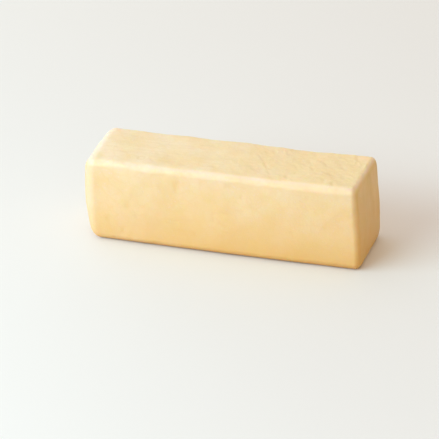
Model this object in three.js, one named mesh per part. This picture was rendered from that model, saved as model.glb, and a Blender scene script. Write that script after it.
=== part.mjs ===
// A block of semi-hard cheese: one solid loaf with soft edges, lying on a long face.
// Millimetres, +Z up. The origin is under the middle of the block, on the face it rests on.
// +X runs along the loaf and -Y is its front, so its ends are left (-X) and right (+X).

import * as THREE from 'three';
import { mergeVertices } from 'three/addons/utils/BufferGeometryUtils.js';

// Size of the sharp block, before its edges and faces are shaped.
const LENGTH = 285.5;
const WIDTH = 84.5;
const HEIGHT = 86.5;

// Radius of the rounded edges: along the loaf at its top and foot, and around each end.
const TOP_EDGE_ROUND = 7.3;
const FOOT_EDGE_ROUND = 8.2;
const LEFT_END_ROUND = 14;
const RIGHT_END_ROUND = 6.3;

// The ends are fullest at their middle, and their foot is drawn in.
const LEFT_END_BULGE = 2.4;
const RIGHT_END_BULGE = 1;
const LEFT_END_UNDERCUT = 4.3;
const RIGHT_END_UNDERCUT = 1.9;
const END_SHAPING_POWER = 6;

// Slant of the ends, in degrees: each is turned in plan, and the right one leans back at its top.
const LEFT_END_TURN = -2.2;
const RIGHT_END_TURN = 1.6;
const RIGHT_END_LEAN = -4.6;

// The long sides sag outwards, most at the foot and midway along.
const SIDE_BELLY = 2.1;
const BELLY_SHAPING_POWER = 4;

// The top rises and falls in one slow wave along the block.
const TOP_WAVE_HEIGHT = 0.35;
const TOP_WAVE_LENGTH = 112;
const TOP_WAVE_CREST_X = 9;

// Facets: steps over each half of a rounded edge, and over the flats between the edges.
const EDGE_STEPS = 4;
const LENGTH_STEPS = 18;
const WIDTH_STEPS = 6;
const HEIGHT_STEPS = 6;

const HALF = new THREE.Vector3(LENGTH, WIDTH, HEIGHT).multiplyScalar(0.5);
const HALF_SECTION = new THREE.Vector2(HALF.y, HALF.z);
const MEAN_HALF_SECTION = (HALF.y + HALF.z) / 2;
const QUARTER_TURN = Math.PI / 2;
const EIGHTH_TURN = Math.PI / 4;

const { clamp, degToRad, lerp } = THREE.MathUtils;

// Where grid line `index` of `count` lies along one axis of the sharp block. The lines within a
// rounded edge are spaced so that they divide its arc into equal angles.
function gridLine(index, count, half, lowRound, highRound) {
  const low = lowRound - half;
  const high = half - highRound;
  if (index < EDGE_STEPS) {
    return low - lowRound * Math.tan(EIGHTH_TURN * (1 - index / EDGE_STEPS));
  }
  if (index > count - EDGE_STEPS) {
    return high + highRound * Math.tan(EIGHTH_TURN * (1 - (count - index) / EDGE_STEPS));
  }
  return lerp(low, high, (index - EDGE_STEPS) / (count - 2 * EDGE_STEPS));
}

// The rounded outline of the loaf's cross-section, at the place that a point on the border of the
// sharp section moves to. In the section x runs to the rear and y upwards.
function sectionOutline(border) {
  const round = border.y > 0 ? TOP_EDGE_ROUND : FOOT_EDGE_ROUND;
  const reach = HALF_SECTION.clone().subScalar(round);
  const core = border.clone().clamp(reach.clone().negate(), reach);
  const outward = border.clone().sub(core).normalize();
  return core.addScaledVector(outward, round);
}

// Moves a point of the sharp block onto the same block with rounded edges. An end face is made of
// ever smaller copies of the section's outline, and the outer ones bend into the rounded rim.
function roundEdges(sharp) {
  const round = sharp.x > 0 ? RIGHT_END_ROUND : LEFT_END_ROUND;
  const rim = round / MEAN_HALF_SECTION;
  const section = new THREE.Vector2(sharp.y, sharp.z);
  const ring = Math.max(Math.abs(section.x) / HALF_SECTION.x, Math.abs(section.y) / HALF_SECTION.y);
  const onEnd = Math.abs(sharp.x) === HALF.x;
  const rimShare = clamp((ring - (1 - rim)) / rim, 0, 1);
  const sideShare = clamp((Math.abs(sharp.x) - (HALF.x - round)) / round, 0, 1);
  const angle = onEnd ? QUARTER_TURN - Math.atan(rimShare) : Math.atan(sideShare);

  if (ring > 0) {
    const flatShare = onEnd ? Math.min(ring / (1 - rim), 1) : 1;
    const size = flatShare * (1 - rim * (1 - Math.cos(angle)));
    section.copy(sectionOutline(section.clone().divideScalar(ring))).multiplyScalar(size);
  }
  const along = HALF.x - round * (1 - Math.sin(angle));
  const x = angle > 0 ? Math.sign(sharp.x) * along : sharp.x;
  return new THREE.Vector3(x, section.x, section.y);
}

// How far an end face falls back from the sharp end, at a place given by its share of each half size.
function endInset(share) {
  const right = share.x > 0;
  const bulge = right ? RIGHT_END_BULGE : LEFT_END_BULGE;
  const undercut = right ? RIGHT_END_UNDERCUT : LEFT_END_UNDERCUT;
  const fullness = (1 - share.y ** 2) * (1 - share.z ** 2);
  const towardsFoot = Math.max(-share.z, 0) ** 2;
  return Math.abs(share.x) ** END_SHAPING_POWER * (bulge * (1 - fullness) + undercut * towardsFoot);
}

// How far the slant of the two ends carries a point along the block.
function endSlant(point, share) {
  const towardsRight = (share.x + 1) / 2;
  const leftTurn = Math.tan(degToRad(LEFT_END_TURN));
  const rightTurn = Math.tan(degToRad(RIGHT_END_TURN));
  const lean = Math.tan(degToRad(RIGHT_END_LEAN)) * towardsRight;
  return point.y * lerp(leftTurn, rightTurn, towardsRight) + point.z * lean;
}

// How far a long side stands out from the sharp block.
function sideBelly(share) {
  const side = Math.sign(share.y) * Math.abs(share.y) ** BELLY_SHAPING_POWER;
  return (side * SIDE_BELLY * (1 - share.x ** 2) * (1 - share.z)) / 2;
}

// Rise of the top in its wave, which fades to nothing at the base.
function topRise(point, share) {
  const fade = ((share.z + 1) / 2) ** 2;
  const phase = (2 * Math.PI * (point.x - TOP_WAVE_CREST_X)) / TOP_WAVE_LENGTH;
  return fade * TOP_WAVE_HEIGHT * Math.cos(phase);
}

// Moves a point of the sharp block, centred on the origin, onto the surface of the cheese.
function shapeBlock(sharp) {
  const point = roundEdges(sharp);
  const share = point.clone().divide(HALF);
  const shift = new THREE.Vector3(
    endSlant(point, share) - Math.sign(share.x) * endInset(share),
    sideBelly(share),
    topRise(point, share),
  );
  return point.add(shift);
}

// The closed surface of the block, with its base on z = 0 and its middle over the origin.
function blockGeometry() {
  const counts = new THREE.Vector3(LENGTH_STEPS, WIDTH_STEPS, HEIGHT_STEPS).addScalar(2 * EDGE_STEPS);
  const geometry = new THREE.BoxGeometry(1, 1, 1, counts.x, counts.y, counts.z);
  geometry.deleteAttribute('normal');
  geometry.deleteAttribute('uv');
  const position = geometry.attributes.position;
  const cell = new THREE.Vector3();
  for (let i = 0; i < position.count; i += 1) {
    cell.fromBufferAttribute(position, i).addScalar(0.5).multiply(counts).round();
    const sharp = new THREE.Vector3(
      gridLine(cell.x, counts.x, HALF.x, LEFT_END_ROUND, RIGHT_END_ROUND),
      gridLine(cell.y, counts.y, HALF.y, TOP_EDGE_ROUND, TOP_EDGE_ROUND),
      gridLine(cell.z, counts.z, HALF.z, FOOT_EDGE_ROUND, TOP_EDGE_ROUND),
    );
    const onSide = cell.x > 0 && cell.x < counts.x;
    sharp.x = onSide ? sharp.x : Math.sign(sharp.x) * HALF.x;
    const point = shapeBlock(sharp);
    position.setXYZ(i, point.x, point.y, point.z);
  }
  const closed = mergeVertices(geometry);
  closed.computeBoundingBox();
  const centre = closed.boundingBox.getCenter(new THREE.Vector3());
  closed.translate(-centre.x, -centre.y, -closed.boundingBox.min.z);
  closed.computeVertexNormals();
  return closed;
}

const cheese = new THREE.MeshStandardMaterial({ color: '#f5dda6', roughness: 0.5, metalness: 0 });

const block = new THREE.Mesh(blockGeometry(), cheese);
block.name = 'cheese_block';

const part = new THREE.Group();
part.add(block);

export default part;
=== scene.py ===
"""Looks of a block of pale semi-hard cheese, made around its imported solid.

Metres, in the solid's own frame: +Z up, +X along the loaf to its right end, and -Y out of its front.
"""

import math
import random

import bpy
import numpy as np
from mathutils import Matrix, Vector, noise


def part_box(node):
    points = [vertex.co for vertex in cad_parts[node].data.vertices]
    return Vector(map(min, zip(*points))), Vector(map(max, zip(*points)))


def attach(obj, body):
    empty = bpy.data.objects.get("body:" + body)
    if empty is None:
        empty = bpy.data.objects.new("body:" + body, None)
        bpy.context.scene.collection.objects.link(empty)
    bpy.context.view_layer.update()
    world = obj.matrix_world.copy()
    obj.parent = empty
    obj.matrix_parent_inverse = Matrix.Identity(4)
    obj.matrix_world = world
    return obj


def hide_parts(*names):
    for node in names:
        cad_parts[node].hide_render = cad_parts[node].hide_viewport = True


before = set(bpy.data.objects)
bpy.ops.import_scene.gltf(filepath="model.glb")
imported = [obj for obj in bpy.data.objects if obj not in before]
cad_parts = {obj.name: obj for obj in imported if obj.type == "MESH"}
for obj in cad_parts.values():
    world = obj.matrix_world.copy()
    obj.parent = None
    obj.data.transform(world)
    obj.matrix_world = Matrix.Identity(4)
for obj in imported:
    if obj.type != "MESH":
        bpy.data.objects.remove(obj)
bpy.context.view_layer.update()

MM = 0.001
TINY = 1e-9

# Size of the sharp block, before its edges and faces are shaped.
LENGTH = 285.5 * MM
WIDTH = 84.5 * MM
HEIGHT = 86.5 * MM
HALF = np.array([LENGTH, WIDTH, HEIGHT]) / 2
MEAN_HALF_SECTION = (HALF[1] + HALF[2]) / 2

# Radius of the rounded edges: along the loaf at its top and foot, and around each end.
TOP_EDGE_ROUND = 7.3 * MM
FOOT_EDGE_ROUND = 8.2 * MM
LEFT_END_ROUND = 14 * MM
RIGHT_END_ROUND = 6.3 * MM

# The ends are fullest at their middle, and their foot is drawn in.
LEFT_END_BULGE = 2.4 * MM
RIGHT_END_BULGE = 1 * MM
LEFT_END_UNDERCUT = 4.3 * MM
RIGHT_END_UNDERCUT = 1.9 * MM
END_SHAPING_POWER = 6

# Slant of the ends: each is turned in plan, and the right one leans back at its top.
LEFT_END_TURN = math.radians(-2.2)
RIGHT_END_TURN = math.radians(1.6)
RIGHT_END_LEAN = math.radians(-4.6)

# The long sides sag outwards, most at the foot and midway along.
SIDE_BELLY = 2.1 * MM
BELLY_SHAPING_POWER = 4

# The top rises and falls in one slow wave along the block.
TOP_WAVE_HEIGHT = 0.35 * MM
TOP_WAVE_LENGTH = 112 * MM
TOP_WAVE_CREST_X = 9 * MM

# Mesh: steps over each half of a rounded edge, and over the flats between the edges.
EDGE_STEPS = 9
LENGTH_STEPS = 222
WIDTH_STEPS = 58
HEIGHT_STEPS = 60

# Lumps of the whole surface: their sizes, how steep they are, and how much steeper on the top.
LUMP_SIZES = (48 * MM, 24 * MM, 12 * MM, 6 * MM, 3.5 * MM)
LUMP_STEEPNESS = 0.014
TOP_LUMPS = 1.4

# Other relief: how wide and deep each kind is, and where the creases lie. All relief fades out at the foot.
EDGE_RIPPLE_SIZES = (30 * MM, 12 * MM)
EDGE_RIPPLE_STEEPNESS = 0.026
CREASE_GAP = 7 * MM
CREASE_LENGTH = 16 * MM
CREASE_LINE = 0.3
CREASE_BREAKS = (-0.1, 0.3)
CREASE_HEIGHT = 0.38 * MM
CREASE_TURN = math.radians(62)
CREASE_START_X = -60 * MM
CREASE_FULL_X = 90 * MM
WRINKLE_SIZE = 4.5 * MM
WRINKLE_DEPTH = 0.20 * MM
STREAK_ACROSS = 13 * MM
STREAK_ALONG = 30 * MM
STREAK_DEPTH = 0.5 * MM
LINE_ACROSS = 3.2 * MM
LINE_ALONG = 26 * MM
LINE_DEPTH = 0.10 * MM
FOOT_FADE = 7 * MM

# Painted highlight: the paler top edges reach down a side and fade towards the left end, which has a pale
# band around it.
PALE_SKIRT = 26 * MM
PALE_SKIRT_SHARE = 0.5
PALE_FADE_START = 30 * MM
PALE_FADE = 0.8
PALE_BAND = 18 * MM
PALE_BAND_SHARE = 0.55

# Marks seen on the front: x, z, half width, half height and depth, in millimetres.
FRONT_MARKS = (
    (-42.9, 67.0, 3.2, 6.2, 0.40),
    (-58.8, 67.6, 3.4, 4.0, 0.24),
    (-16.8, 76.1, 2.4, 3.4, 0.28),
    (9.4, 75.2, 3.6, 2.4, 0.22),
    (-93.6, 41.4, 3.0, 3.4, 0.28),
    (-80.0, 43.2, 8.0, 2.0, 0.16),
    (-83.5, 32.9, 2.6, 2.6, 0.18),
    (-114.0, 25.6, 2.4, 3.8, 0.28),
    (-98.1, 14.4, 2.4, 3.0, 0.30),
    (-44.9, 47.7, 2.2, 2.2, 0.20),
    (-5.1, 44.2, 2.8, 2.6, 0.20),
    (-54.4, 80.0, 2.2, 2.0, 0.20),
    (-49.4, 30.8, 11.0, 2.0, 0.18),
    (9.0, 45.8, 11.0, 1.6, 0.16),
    (6.8, 22.9, 3.2, 2.2, 0.18),
    (34.4, 56.9, 3.2, 2.2, 0.16),
)

# Marks seen on the top: x, y, half length, half width and depth, in millimetres. They slant in plan.
MARK_SLANT = 0.5
TOP_MARKS = (
    (-106.0, -13.6, 4.4, 2.2, 0.22),
    (-73.1, -25.1, 1.6, 4.6, 0.22),
    (-72.1, -8.6, 2.2, 3.2, 0.22),
    (-54.2, -23.9, 5.0, 4.6, 0.28),
    (-9.4, -23.6, 4.6, 4.6, 0.28),
    (-122.6, -28.4, 4.0, 4.6, 0.20),
    (-32.3, 14.5, 5.0, 2.8, 0.20),
    (31.4, 5.0, 1.8, 5.0, 0.30),
    (38.7, -8.6, 1.9, 6.0, 0.42),
    (45.1, -22.0, 1.8, 5.0, 0.32),
    (64.0, -27.7, 3.0, 3.6, 0.34),
    (68.7, -4.5, 1.6, 4.6, 0.28),
    (74.0, 4.0, 2.2, 3.6, 0.34),
    (84.5, -4.0, 2.2, 4.8, 0.34),
    (93.0, 11.0, 2.4, 3.8, 0.36),
    (97.0, -9.0, 2.0, 4.0, 0.32),
    (103.9, -12.1, 2.8, 4.4, 0.40),
    (100.8, -26.9, 2.4, 3.2, 0.30),
    (112.0, 5.4, 2.4, 3.4, 0.38),
)

# One mark on the top is a ring pressed into it.
RING_X = -83.4 * MM
RING_Y = -23.8 * MM
RING_RADIUS = 3.4 * MM
RING_LINE = 1.3 * MM
RING_DEPTH = 0.32 * MM

# Small pits scattered over the whole block.
PIT_SEED = 11
PIT_COUNT = 140
PIT_RADIUS = (1.2 * MM, 3.2 * MM)
PIT_DEPTH = (0.08 * MM, 0.26 * MM)

# How squarely a place has to face a side to have what lies on that side: from none of it, to all of it.
LUMPY_TOP_FACING = (0.5, 0.9)
CREASE_FACING = (0.75, 0.97)
MARK_FACING = (0.5, 0.8)
PIT_FACING = 0.5
END_FACING = (0.7, 0.95)
PALE_RIM_FACING = (0.45, 0.80)
PALE_TOP_FACING = (0.88, 0.99)
PALE_BAND_FACING = (0.75, 0.97)

# How far the largest part of a normal falls below 1 on the middle of a rounded edge.
EDGE_MIDDLE_FALL = 0.29

# Each kind of relief has its own layers of noise, and each layer is read this far from the one before it.
NOISE_LAYER_SHIFT = np.array([17.3, 5.9, 31.7])
LUMP_LAYER = 1
EDGE_RIPPLE_LAYER = 11
CREASE_LAYER = 21
CREASE_BREAK_LAYER = 22
WRINKLE_LAYER = 23
LINE_LAYER = 24
STREAK_LAYER = 31

# Colours, as linear light: the two creams, what is mixed into them, and then the floor, sky and lights.
CREAM = (0.968, 0.79, 0.552, 1)
DEEP_CREAM = (0.93, 0.735, 0.425, 1)
# Tint of the pale flecks, and of the painted highlight.
FLECK_AND_HIGHLIGHT_TINT = (0.96, 0.78, 0.87, 1)
CURD_LINE = (0.92, 0.70, 0.38, 1)
# Painted shade in the hollows.
HOLLOW_SHADE_TONE = (0.86, 0.63, 0.31, 1)
# Tone of the streaks on the ends, and of painted shade over the ends.
STREAK_AND_END_SHADE_TONE = (0.80, 0.62, 0.26, 1)
# Painted shade and warm bounced light at the foot.
FOOT_SHADE_TONE = (0.835, 0.572, 0.22, 1)
FLOOR_PALE = (0.86, 0.87, 0.88, 1)
FLOOR_SOFT = (0.845, 0.855, 0.865, 1)
FLOOR_BOUNCE = (0.60, 0.36, 0.12, 1)
BACKDROP = (0.83, 0.83, 0.82, 1)
LEFT_SKY = (0.92, 0.82, 0.88, 1)
RIGHT_SKY = (0.575, 0.452, 0.228, 1)
KEY_TONE = (0.662, 0.922, 1.0)
REAR_TONE = (0.72, 0.93, 0.90)

# Painted shade and warm bounced light at the foot, a deeper tone: how high it reaches, how fast it fades,
# and its strength at the left end.
FOOT_SHADE_TOP = 74 * MM
FOOT_SHADE_POWER = 1.6
FOOT_SHADE_LEFT = 0.6

# Other patterns of the colour, painted highlight and shade among them: their size, the part of the noise
# that shows, and the most that is mixed in.
CLOUD_SIZE = 30 * MM
CLOUD_RANGE = (0.32, 0.68)
# Painted shade on the top: lighter at the left end and deeper towards the right end.
TOP_SHADE_START = 0.85 * HEIGHT
TOP_SHADE_LEFT_TO_RIGHT = (-0.5, 0.9)
CURD_SIZE = 11 * MM
CURD_LINE_WIDTH = 0.16
CURD_LINE_SHARE = 0.45
CURD_WANDER = 6 * MM
CURD_WANDER_SIZE = 14 * MM
CURD_PATCH_SIZE = 24 * MM
FLECK_SIZE = 1.6 * MM
FLECK_RANGE = (0.62, 0.75)
FLECK_SHARE = 0.35
# The most painted highlight that is mixed in.
PAINTED_HIGHLIGHT_SHARE = 0.25
# Painted shade in the hollows: the most that is mixed in, and the hollow depth that gets all of it.
HOLLOW_SHADE_SHARE = 0.4
HOLLOW_SHADE_FULL_DEPTH = 0.4 * MM
STREAK_RANGE = (0.3, 0.75)
STREAK_SHARE = 0.62
# Painted shade on the ends, deeper towards their top: where it starts and ends, and the most that is mixed
# in.
END_TOP_SHADE_RANGE = (0.6 * HEIGHT, 0.95 * HEIGHT)
END_TOP_SHADE_SHARE = 0.3
NOISE_ROUGHNESS = 0.55

# Finish: satin gloss in soft patches, a fine grain, and light that passes a little way under the skin.
GLOSS_SIZE = 9 * MM
GLOSS_RANGE = (0.3, 0.7)
ROUGHNESS = (0.36, 0.48)
GRAIN_SIZE = 1.8 * MM
GRAIN_STRENGTH = 0.7
GRAIN_DEPTH = 0.25 * MM
SPECULAR_LEVEL = 0.34
REFRACTION = 1.45
SUBSURFACE_WEIGHT = 0.6
SUBSURFACE_RADIUS = (1.0, 0.6, 0.3)
SUBSURFACE_SCALE = 1.5 * MM

# Camera: where it stands, as the photograph shows the block, in a square picture.
CAMERA_YAW = math.radians(17.02)
CAMERA_ELEVATION = math.radians(26.4)
CAMERA_ROLL = math.radians(-0.75)
CAMERA_DISTANCE = 2.2
CAMERA_TARGET = Vector((-11.72 * MM, 0, 16.76 * MM))
PICTURE_SIDE = 439
FOCAL_PIXELS = 2208.4
SENSOR_WIDTH = 36

# Light: a large soft key from the front left, a weaker light from behind and a sky.
KEY_FROM = Vector((-0.62, -0.63, 0.46))
KEY_POWER = 51.4
KEY_SIZE = (2.4, 0.8)
REAR_FROM = Vector((-0.45, 0.88, 0.13))
REAR_POWER = 18
REAR_SIZE = (2.4, 0.6)
SOFTBOX_DISTANCE = 2.4

# Floor: just under the block, and fading out with the distance from it.
FLOOR_SIDE = 8
FLOOR_LEVEL = -0.2 * MM
FLOOR_FADE_START = 0.9
FLOOR_FADE_END = 3.2
FLOOR_MOTTLE_SIZE = 0.4
FLOOR_ROUGHNESS = 0.9


def grid_lines(half, low_round, high_round, flat_steps):
    """Places of the lattice along one axis: equal angles within a rounded edge, equal steps between."""
    arc = np.tan(np.linspace(0, math.pi / 4, EDGE_STEPS + 1))
    low = low_round - half - low_round * arc[::-1]
    high = half - high_round + high_round * arc
    flat = np.linspace(low[-1], high[0], flat_steps + 1)
    return np.concatenate([low, flat[1:-1], high])


def sharp_lattice():
    """Border points of a lattice that fills the sharp block, and the quads between them, facing out."""
    lines = (
        grid_lines(HALF[0], LEFT_END_ROUND, RIGHT_END_ROUND, LENGTH_STEPS),
        grid_lines(HALF[1], TOP_EDGE_ROUND, TOP_EDGE_ROUND, WIDTH_STEPS),
        grid_lines(HALF[2], FOOT_EDGE_ROUND, TOP_EDGE_ROUND, HEIGHT_STEPS),
    )
    border = np.zeros([len(line) for line in lines], bool)
    for axis in range(3):
        sheets = np.moveaxis(border, axis, 0)
        sheets[0] = True
        sheets[-1] = True
    index = np.full(border.shape, -1)
    index[border] = np.arange(border.sum())
    cells = np.argwhere(border)
    points = np.column_stack([line[cells[:, axis]] for axis, line in enumerate(lines)])
    quads = []
    for axis in range(3):
        for side in (0, -1):
            sheet = np.take(index, side, axis)
            corners = (sheet[:-1, :-1], sheet[1:, :-1], sheet[1:, 1:], sheet[:-1, 1:])
            quad = np.stack(corners, axis=-1).reshape(-1, 4)
            faces_in = (side == 0) != (axis == 1)
            quads.append(quad[:, ::-1] if faces_in else quad)
    return points, np.concatenate(quads)


def section_outline(border):
    """Rounded outline of the cross-section, at points on the sharp section's border."""
    rounding = np.where(border[:, 1] > 0, TOP_EDGE_ROUND, FOOT_EDGE_ROUND)[:, None]
    reach = HALF[1:] - rounding
    core = np.clip(border, -reach, reach)
    outward = border - core
    outward /= np.maximum(np.linalg.norm(outward, axis=1, keepdims=True), TINY)
    return core + rounding * outward


def round_edges(sharp):
    """Moves points of the sharp block onto the block with rounded edges, its ends made of rings."""
    x = sharp[:, 0]
    rounding = np.where(x > 0, RIGHT_END_ROUND, LEFT_END_ROUND)
    rim = rounding / MEAN_HALF_SECTION
    ring = np.maximum(np.abs(sharp[:, 1:] / HALF[1:]).max(axis=1), TINY)
    on_end = np.abs(x) > HALF[0] - TINY
    rim_share = np.clip((ring - (1 - rim)) / rim, 0, 1)
    side_share = np.clip((np.abs(x) - (HALF[0] - rounding)) / rounding, 0, 1)
    angle = np.where(on_end, math.pi / 2 - np.arctan(rim_share), np.arctan(side_share))
    flat_share = np.where(on_end, np.minimum(ring / (1 - rim), 1), 1)
    size = flat_share * (1 - rim * (1 - np.cos(angle)))
    section = section_outline(sharp[:, 1:] / ring[:, None]) * size[:, None]
    along = np.sign(x) * (HALF[0] - rounding * (1 - np.sin(angle)))
    return np.column_stack([np.where(angle > 0, along, x), section])


def end_inset(share):
    """How far the end faces fall back from the sharp ends, by each point's share of the half sizes."""
    right = share[:, 0] > 0
    bulge = np.where(right, RIGHT_END_BULGE, LEFT_END_BULGE)
    undercut = np.where(right, RIGHT_END_UNDERCUT, LEFT_END_UNDERCUT)
    fullness = (1 - share[:, 1] ** 2) * (1 - share[:, 2] ** 2)
    towards_foot = np.clip(-share[:, 2], 0, None) ** 2
    return np.abs(share[:, 0]) ** END_SHAPING_POWER * (bulge * (1 - fullness) + undercut * towards_foot)


def end_slant(points, share):
    """How far the slant of the two ends carries points along the block."""
    towards_right = (share[:, 0] + 1) / 2
    turn = math.tan(LEFT_END_TURN) * (1 - towards_right) + math.tan(RIGHT_END_TURN) * towards_right
    return points[:, 1] * turn + points[:, 2] * math.tan(RIGHT_END_LEAN) * towards_right


def side_belly(share):
    """How far the long sides stand out from the sharp block."""
    side = np.sign(share[:, 1]) * np.abs(share[:, 1]) ** BELLY_SHAPING_POWER
    return side * SIDE_BELLY * (1 - share[:, 0] ** 2) * (1 - share[:, 2]) / 2


def top_rise(points, share):
    """Rise of the top in its wave, which fades to nothing at the base."""
    phase = 2 * math.pi * (points[:, 0] - TOP_WAVE_CREST_X) / TOP_WAVE_LENGTH
    return ((share[:, 2] + 1) / 2) ** 2 * TOP_WAVE_HEIGHT * np.cos(phase)


def shape_block(sharp):
    """Moves points of the sharp block onto the smooth loaf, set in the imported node's box."""
    points = round_edges(sharp)
    share = points / HALF
    points = points + np.column_stack([
        end_slant(points, share) - np.sign(share[:, 0]) * end_inset(share),
        side_belly(share),
        top_rise(points, share),
    ])
    node_low, node_high = (np.array(corner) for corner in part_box("cheese_block"))
    low, high = points.min(axis=0), points.max(axis=0)
    shift = (node_low + node_high - low - high) / 2
    shift[2] = node_low[2] - low[2]
    return points + shift


def vertex_normals(points, quads):
    """Smooth normals of a quad mesh."""
    a, b, c, d = (points[quads[:, corner]] for corner in range(4))
    face_normals = np.cross(c - a, d - b)
    normals = np.zeros_like(points)
    for corner in range(4):
        np.add.at(normals, quads[:, corner], face_normals)
    return normals / np.linalg.norm(normals, axis=1, keepdims=True)


def smooth_step(values, low, high):
    """0 below `low`, 1 above `high`, and an even curve between."""
    share = np.clip((values - low) / (high - low), 0, 1)
    return share * share * (3 - 2 * share)


def noise_field(points, size, layer):
    """Smooth noise from -1 to 1 with lumps of about `size`, another one for each `layer`."""
    return np.array([noise.noise(place) for place in points / size + NOISE_LAYER_SHIFT * layer])


def edge_share(normals):
    """1 on the middle of a rounded edge, falling to 0 on the flats."""
    return np.clip((1 - np.abs(normals).max(axis=1)) / EDGE_MIDDLE_FALL, 0, 1)


def end_share(normals):
    """1 on the two end faces, falling to 0 on their rims."""
    return smooth_step(np.abs(normals[:, 0]), *END_FACING)


def painted_highlight_share(sharp, normals):
    """Where the highlight is painted palest: on and under the rounded top edges, and around the left end.
    """
    lift = normals[:, 2]
    under_rim = PALE_SKIRT_SHARE * smooth_step(sharp[:, 2], HALF[2] - PALE_SKIRT, HALF[2])
    under_rim *= 1 - end_share(normals)
    top_rim = np.maximum(smooth_step(lift, *PALE_RIM_FACING), under_rim)
    top_rim *= 1 - smooth_step(lift, *PALE_TOP_FACING)
    leftwards = -sharp[:, 0]
    top_rim *= 1 - PALE_FADE * smooth_step(leftwards, PALE_FADE_START, HALF[0])
    band = smooth_step(leftwards, HALF[0] - PALE_BAND, HALF[0] - PALE_BAND / 2)
    band *= 1 - smooth_step(-normals[:, 0], *PALE_BAND_FACING)
    return np.maximum(top_rim, PALE_BAND_SHARE * band)


def lump_relief(points, sizes, steepness, layer):
    """Lumps of several sizes, all as steep as each other. Each size takes the next noise layer."""
    lumps = (size * noise_field(points, size, layer + step) for step, size in enumerate(sizes))
    return steepness * sum(lumps)


def broad_relief(points, normals):
    """Unevenness of the whole surface, and more of it along the edges."""
    on_top = smooth_step(normals[:, 2], *LUMPY_TOP_FACING)
    lumps = lump_relief(points, LUMP_SIZES, LUMP_STEEPNESS, LUMP_LAYER)
    ripple = lump_relief(points, EDGE_RIPPLE_SIZES, EDGE_RIPPLE_STEEPNESS, EDGE_RIPPLE_LAYER)
    return lumps * (1 + (TOP_LUMPS - 1) * on_top) + ripple * edge_share(normals)


def crease_relief(points, normals):
    """What a film left in the top: fine lengthwise lines, and slanting creases towards the right end."""
    turned = points @ np.array(Matrix.Rotation(CREASE_TURN, 3, "Z")).T
    stretched = turned / np.array([CREASE_LENGTH, CREASE_GAP, CREASE_GAP])
    lines = np.clip(1 - np.abs(noise_field(stretched, 1, CREASE_LAYER)) / CREASE_LINE, 0, 1) ** 2
    broken = smooth_step(noise_field(points, CREASE_LENGTH, CREASE_BREAK_LAYER), *CREASE_BREAKS)
    wrinkles = noise_field(points, WRINKLE_SIZE, WRINKLE_LAYER)
    growth = smooth_step(points[:, 0], CREASE_START_X, CREASE_FULL_X)
    drawn_out = points / np.array([LINE_ALONG, LINE_ACROSS, LINE_ALONG])
    lengthwise = noise_field(drawn_out, 1, LINE_LAYER)
    creased = CREASE_HEIGHT * lines * broken + WRINKLE_DEPTH * wrinkles
    on_top = smooth_step(normals[:, 2], *CREASE_FACING)
    return (creased * growth + LINE_DEPTH * lengthwise * (1 - growth)) * on_top


def streak_relief(points, normals):
    """Upright streaks on the two ends."""
    stretched = points / np.array([STREAK_ALONG, STREAK_ACROSS, STREAK_ALONG])
    return STREAK_DEPTH * noise_field(stretched, 1, STREAK_LAYER) * end_share(normals)


def dimple(across, along, half_across, half_along, depth):
    """A soft hollow, given the distances from its middle in two directions."""
    return -depth * np.exp(-((across / half_across) ** 2 + (along / half_along) ** 2))


def named_marks(points, normals):
    """The hollows seen on the front and the top."""
    x, y, z = points.T
    on_front = smooth_step(-normals[:, 1], *MARK_FACING)
    on_top = smooth_step(normals[:, 2], *MARK_FACING)
    relief = np.zeros(len(points))
    for mark_x, mark_z, half_width, half_height, depth in np.array(FRONT_MARKS) * MM:
        relief += on_front * dimple(x - mark_x, z - mark_z, half_width, half_height, depth)
    for mark_x, mark_y, half_length, half_width, depth in np.array(TOP_MARKS) * MM:
        slanted_x = x - mark_x + MARK_SLANT * (y - mark_y)
        relief += on_top * dimple(slanted_x, y - mark_y, half_length, half_width, depth)
    from_ring = np.hypot(x - RING_X, y - RING_Y) - RING_RADIUS
    return relief - on_top * RING_DEPTH * np.exp(-(from_ring / RING_LINE) ** 2)


def scattered_pits(points, normals):
    """Small pits at random places, each one only on the side that it was drawn on."""
    chance = random.Random(PIT_SEED)
    relief = np.zeros(len(points))
    for _ in range(PIT_COUNT):
        middle = chance.randrange(len(points))
        radius = chance.uniform(*PIT_RADIUS)
        depth = chance.uniform(*PIT_DEPTH)
        distance = np.linalg.norm(points - points[middle], axis=1)
        same_side = normals @ normals[middle] > PIT_FACING
        relief += same_side * dimple(distance, 0, radius, radius, depth)
    return relief


def add_attribute(mesh, name, values):
    """Keeps one number for each vertex on the mesh, for its material."""
    mesh.attributes.new(name, "FLOAT", "POINT").data.foreach_set("value", values.astype(np.float32))


def make_block():
    """The cheese block: the smooth loaf with its relief."""
    sharp, quads = sharp_lattice()
    smooth = shape_block(sharp)
    normals = vertex_normals(smooth, quads)
    hollows = named_marks(smooth, normals) + scattered_pits(smooth, normals)
    relief = broad_relief(smooth, normals) + crease_relief(smooth, normals)
    relief += streak_relief(smooth, normals)
    above_foot = smooth_step(smooth[:, 2], 0, FOOT_FADE)
    points = smooth + normals * ((relief + hollows) * above_foot)[:, None]

    mesh = bpy.data.meshes.new("cheese_block_looks")
    mesh.from_pydata(points, [], quads)
    mesh.shade_smooth()
    # The pale attribute is a painted highlight on the top edges and around the left end.
    add_attribute(mesh, "pale", painted_highlight_share(sharp, normals))
    add_attribute(mesh, "end", end_share(normals))
    # Depth of the hollows, which darkens the colour there as painted shade.
    add_attribute(mesh, "pit", np.clip(-hollows / HOLLOW_SHADE_FULL_DEPTH, 0, 1) * above_foot)
    block = bpy.data.objects.new("cheese_block_looks", mesh)
    bpy.context.scene.collection.objects.link(block)
    return block


def new_material(name):
    """A new node material, and its Principled shader."""
    material = bpy.data.materials.new(name)
    material.use_nodes = True
    shader = material.node_tree.nodes["Principled BSDF"]
    return material, shader


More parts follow.
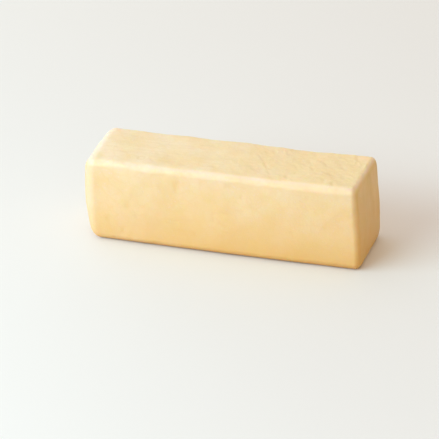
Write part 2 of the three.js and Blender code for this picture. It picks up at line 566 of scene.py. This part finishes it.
def add_node(tree, kind, inputs, **settings):
    """A node with its settings, and with each input linked to a socket or set to a value."""
    node = tree.nodes.new(kind)
    for name, value in settings.items():
        setattr(node, name, value)
    for name, value in inputs.items():
        if isinstance(value, bpy.types.NodeSocket):
            tree.links.new(value, node.inputs[name])
        else:
            node.inputs[name].default_value = value
    return node


def mix_colours(tree, share, first, second):
    """The socket of a mix of two colours, each a colour or a socket."""
    node = tree.nodes.new("ShaderNodeMix")
    node.data_type = "RGBA"
    sockets = {socket.identifier: socket for socket in node.inputs}
    for name, value in (("Factor_Float", share), ("A_Color", first), ("B_Color", second)):
        if isinstance(value, bpy.types.NodeSocket):
            tree.links.new(value, sockets[name])
        else:
            sockets[name].default_value = value
    return next(socket for socket in node.outputs if socket.identifier == "Result_Color")


def map_range(tree, value, from_low, from_high, to_low, to_high):
    """The socket of a number carried from one range to another, and held inside it."""
    inputs = {
        "Value": value,
        "From Min": from_low,
        "From Max": from_high,
        "To Min": to_low,
        "To Max": to_high,
    }
    return add_node(tree, "ShaderNodeMapRange", inputs).outputs["Result"]


def combine(tree, operation, *values):
    """The socket of a sum, product or power of values, each a number or a socket."""
    return add_node(tree, "ShaderNodeMath", dict(enumerate(values)), operation=operation).outputs[0]


def combine_vectors(tree, operation, *values):
    """The socket of a sum or product of vectors, each a vector or a socket."""
    return add_node(tree, "ShaderNodeVectorMath", dict(enumerate(values)), operation=operation).outputs[0]


def mesh_attribute(tree, name):
    """The socket of a number that the mesh keeps for each vertex."""
    return add_node(tree, "ShaderNodeAttribute", {}, attribute_name=name).outputs["Fac"]


def noise_texture(tree, place, size, detail=2.0):
    """The socket of a noise pattern with clouds of about `size`."""
    inputs = {"Vector": place, "Scale": 1 / size, "Detail": detail, "Roughness": NOISE_ROUGHNESS}
    return add_node(tree, "ShaderNodeTexNoise", inputs).outputs["Fac"]


def cream_clouds(tree, place, along, height):
    """The colour socket of cloudy cream, with painted shade that lightens the top at the left end and
    deepens it towards the right end.
    """
    clouds = map_range(tree, noise_texture(tree, place, CLOUD_SIZE), *CLOUD_RANGE, 0, 1)
    near_top = map_range(tree, height, TOP_SHADE_START, HEIGHT, 0, 1)
    # Painted shade along the top, from the left end to the right end.
    painted_top_shade = map_range(tree, along, -HALF[0], HALF[0], *TOP_SHADE_LEFT_TO_RIGHT)
    depth = combine(tree, "MULTIPLY_ADD", near_top, painted_top_shade, clouds)
    return mix_colours(tree, depth, CREAM, DEEP_CREAM)


def curd_lines(tree, place):
    """The socket of faint lines where curds have knitted together, stronger in patches."""
    wander_inputs = {"Vector": place, "Scale": 1 / CURD_WANDER_SIZE, "Detail": 2.0}
    wander = add_node(tree, "ShaderNodeTexNoise", wander_inputs).outputs["Color"]
    offset = combine_vectors(tree, "MULTIPLY", wander, (CURD_WANDER,) * 3)
    cell_inputs = {"Vector": combine_vectors(tree, "ADD", place, offset), "Scale": 1 / CURD_SIZE}
    cells = add_node(tree, "ShaderNodeTexVoronoi", cell_inputs, feature="DISTANCE_TO_EDGE")
    lines = map_range(tree, cells.outputs["Distance"], 0, CURD_LINE_WIDTH, 1, 0)
    patches = noise_texture(tree, place, CURD_PATCH_SIZE)
    return map_range(tree, combine(tree, "MULTIPLY", lines, patches), 0, 1, 0, CURD_LINE_SHARE)


def end_streaks_and_shade(tree, place, height):
    """The socket of upright streaks on the two ends and of painted shade over the ends, more towards their
    top, and 0 on the other sides.
    """
    narrow = tuple(1 / size for size in (STREAK_ALONG, STREAK_ACROSS, STREAK_ALONG))
    stretched = combine_vectors(tree, "MULTIPLY", place, narrow)
    streaks = map_range(tree, noise_texture(tree, stretched, 1.0), *STREAK_RANGE, 0, STREAK_SHARE)
    end_top_shade = map_range(tree, height, *END_TOP_SHADE_RANGE, 0, END_TOP_SHADE_SHARE)
    return combine(tree, "MULTIPLY", combine(tree, "ADD", streaks, end_top_shade), mesh_attribute(tree, "end"))


def painted_foot_shade(tree, along, height):
    """The socket of how much of the foot's painted shade and warm bounced light shows: most at the base,
    and less to the left.
    """
    towards_foot = map_range(tree, height, 0, FOOT_SHADE_TOP, 1, 0)
    fade = combine(tree, "POWER", towards_foot, FOOT_SHADE_POWER)
    strength = map_range(tree, along, -HALF[0], 0, FOOT_SHADE_LEFT, 1)
    return combine(tree, "MULTIPLY", fade, strength)


def cheese_colour(tree, place):
    """The colour socket of the cheese: its clouds, with each tint and tone mixed in over them, painted
    highlight and shade among them.
    """
    along, _, height = add_node(tree, "ShaderNodeSeparateXYZ", {"Vector": place}).outputs
    fleck_noise = noise_texture(tree, place, FLECK_SIZE, detail=1.0)
    layers = (
        (curd_lines(tree, place), CURD_LINE),
        (map_range(tree, fleck_noise, *FLECK_RANGE, 0, FLECK_SHARE), FLECK_AND_HIGHLIGHT_TINT),
        # Painted highlight on the top edges and around the left end.
        (map_range(tree, mesh_attribute(tree, "pale"), 0, 1, 0, PAINTED_HIGHLIGHT_SHARE), FLECK_AND_HIGHLIGHT_TINT),
        # Painted shade in the hollows.
        (map_range(tree, mesh_attribute(tree, "pit"), 0, 1, 0, HOLLOW_SHADE_SHARE), HOLLOW_SHADE_TONE),
        # Streaks on the ends, and painted shade over them.
        (end_streaks_and_shade(tree, place, height), STREAK_AND_END_SHADE_TONE),
        # Painted shade and warm bounced light at the foot.
        (painted_foot_shade(tree, along, height), FOOT_SHADE_TONE),
    )
    colour = cream_clouds(tree, place, along, height)
    for share, tone in layers:
        colour = mix_colours(tree, share, colour, tone)
    return colour


def cheese_material():
    """Satin cream cheese with a fine grain."""
    material, shader = new_material("cheese")
    tree = material.node_tree
    place = add_node(tree, "ShaderNodeTexCoord", {}).outputs["Object"]
    gloss = noise_texture(tree, place, GLOSS_SIZE, detail=3.0)
    grain = noise_texture(tree, place, GRAIN_SIZE, detail=3.0)
    bump_inputs = {"Height": grain, "Strength": GRAIN_STRENGTH, "Distance": GRAIN_DEPTH}
    bump = add_node(tree, "ShaderNodeBump", bump_inputs).outputs["Normal"]
    tree.links.new(cheese_colour(tree, place), shader.inputs["Base Color"])
    tree.links.new(map_range(tree, gloss, *GLOSS_RANGE, *ROUGHNESS), shader.inputs["Roughness"])
    tree.links.new(bump, shader.inputs["Normal"])

    shader.inputs["Specular IOR Level"].default_value = SPECULAR_LEVEL
    shader.inputs["IOR"].default_value = REFRACTION
    shader.inputs["Subsurface Weight"].default_value = SUBSURFACE_WEIGHT
    shader.inputs["Subsurface Radius"].default_value = SUBSURFACE_RADIUS
    shader.inputs["Subsurface Scale"].default_value = SUBSURFACE_SCALE
    return material


def floor_material():
    """Pale matt ground, faintly mottled. It throws warm light onto the block and fades far from it."""
    material, shader = new_material("floor")
    tree = material.node_tree
    place = add_node(tree, "ShaderNodeTexCoord", {}).outputs["Object"]
    mottle = noise_texture(tree, place, FLOOR_MOTTLE_SIZE, detail=3.0)
    colour = mix_colours(tree, mottle, FLOOR_PALE, FLOOR_SOFT)
    thrown_back = add_node(tree, "ShaderNodeLightPath", {}).outputs["Is Diffuse Ray"]
    tree.links.new(mix_colours(tree, thrown_back, colour, FLOOR_BOUNCE), shader.inputs["Base Color"])
    shader.inputs["Roughness"].default_value = FLOOR_ROUGHNESS

    distance = add_node(tree, "ShaderNodeVectorMath", {0: place}, operation="LENGTH").outputs["Value"]
    solid = map_range(tree, distance, FLOOR_FADE_START, FLOOR_FADE_END, 1, 0)
    tree.links.new(solid, shader.inputs["Alpha"])
    return material


def make_floor():
    """A wide plane just under the block."""
    half = FLOOR_SIDE / 2
    corners = [(x, y, FLOOR_LEVEL) for x, y in ((-half, -half), (half, -half), (half, half), (-half, half))]
    mesh = bpy.data.meshes.new("floor")
    mesh.from_pydata(corners, [], [(0, 1, 2, 3)])
    mesh.materials.append(floor_material())
    floor = bpy.data.objects.new("floor", mesh)
    bpy.context.scene.collection.objects.link(floor)
    return floor


def make_camera():
    """The camera at the photograph's viewing angle."""
    turn = CAMERA_YAW
    lift = CAMERA_ELEVATION
    back = Vector((
        math.sin(turn) * math.cos(lift),
        -math.cos(turn) * math.cos(lift),
        math.sin(lift),
    ))
    level_right = Vector((math.cos(turn), math.sin(turn), 0))
    level_up = back.cross(level_right)
    right = level_right * math.cos(CAMERA_ROLL) + level_up * math.sin(CAMERA_ROLL)
    up = level_up * math.cos(CAMERA_ROLL) - level_right * math.sin(CAMERA_ROLL)
    axes = Matrix((right, up, back)).transposed().to_4x4()

    data = bpy.data.cameras.new("camera")
    data.sensor_width = SENSOR_WIDTH
    data.lens = FOCAL_PIXELS / PICTURE_SIDE * SENSOR_WIDTH
    camera = bpy.data.objects.new("camera", data)
    camera.matrix_world = Matrix.Translation(CAMERA_TARGET + back * CAMERA_DISTANCE) @ axes
    bpy.context.scene.collection.objects.link(camera)
    bpy.context.scene.camera = camera


def add_softbox(name, direction, size, power, tone, gives_gloss):
    """A soft light that faces the middle of the block."""
    data = bpy.data.lights.new(name, "AREA")
    data.shape = "RECTANGLE"
    data.size, data.size_y = size
    data.energy = power
    data.color = tone
    light = bpy.data.objects.new(name, data)
    towards = direction.normalized()
    light.location = towards * SOFTBOX_DISTANCE + Vector((0, 0, HEIGHT / 2))
    light.rotation_euler = towards.to_track_quat("Z", "Y").to_euler()
    light.visible_camera = False
    light.visible_glossy = gives_gloss
    bpy.context.scene.collection.objects.link(light)


def make_sky():
    """A sky that is warmer and dimmer at the right, and that the camera sees as a plain pale backdrop."""
    world = bpy.data.worlds.new("sky")
    world.use_nodes = True
    tree = world.node_tree
    direction = add_node(tree, "ShaderNodeTexCoord", {}).outputs["Generated"]
    across = add_node(tree, "ShaderNodeSeparateXYZ", {"Vector": direction}).outputs["X"]
    colour = mix_colours(tree, map_range(tree, across, -1, 1, 0, 1), LEFT_SKY, RIGHT_SKY)
    seen = add_node(tree, "ShaderNodeLightPath", {}).outputs["Is Camera Ray"]
    tree.links.new(mix_colours(tree, seen, colour, BACKDROP), tree.nodes["Background"].inputs["Color"])
    bpy.context.scene.world = world


def make_light():
    """Soft studio light: a key, a light from behind and a sky."""
    add_softbox("key", KEY_FROM, KEY_SIZE, KEY_POWER, KEY_TONE, True)
    add_softbox("rear", REAR_FROM, REAR_SIZE, REAR_POWER, REAR_TONE, False)
    make_sky()
    bpy.context.scene.view_settings.view_transform = "Standard"


make_camera()
make_light()
make_floor()

block = make_block()
block.data.materials.append(cheese_material())
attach(block, "root")
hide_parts("cheese_block")
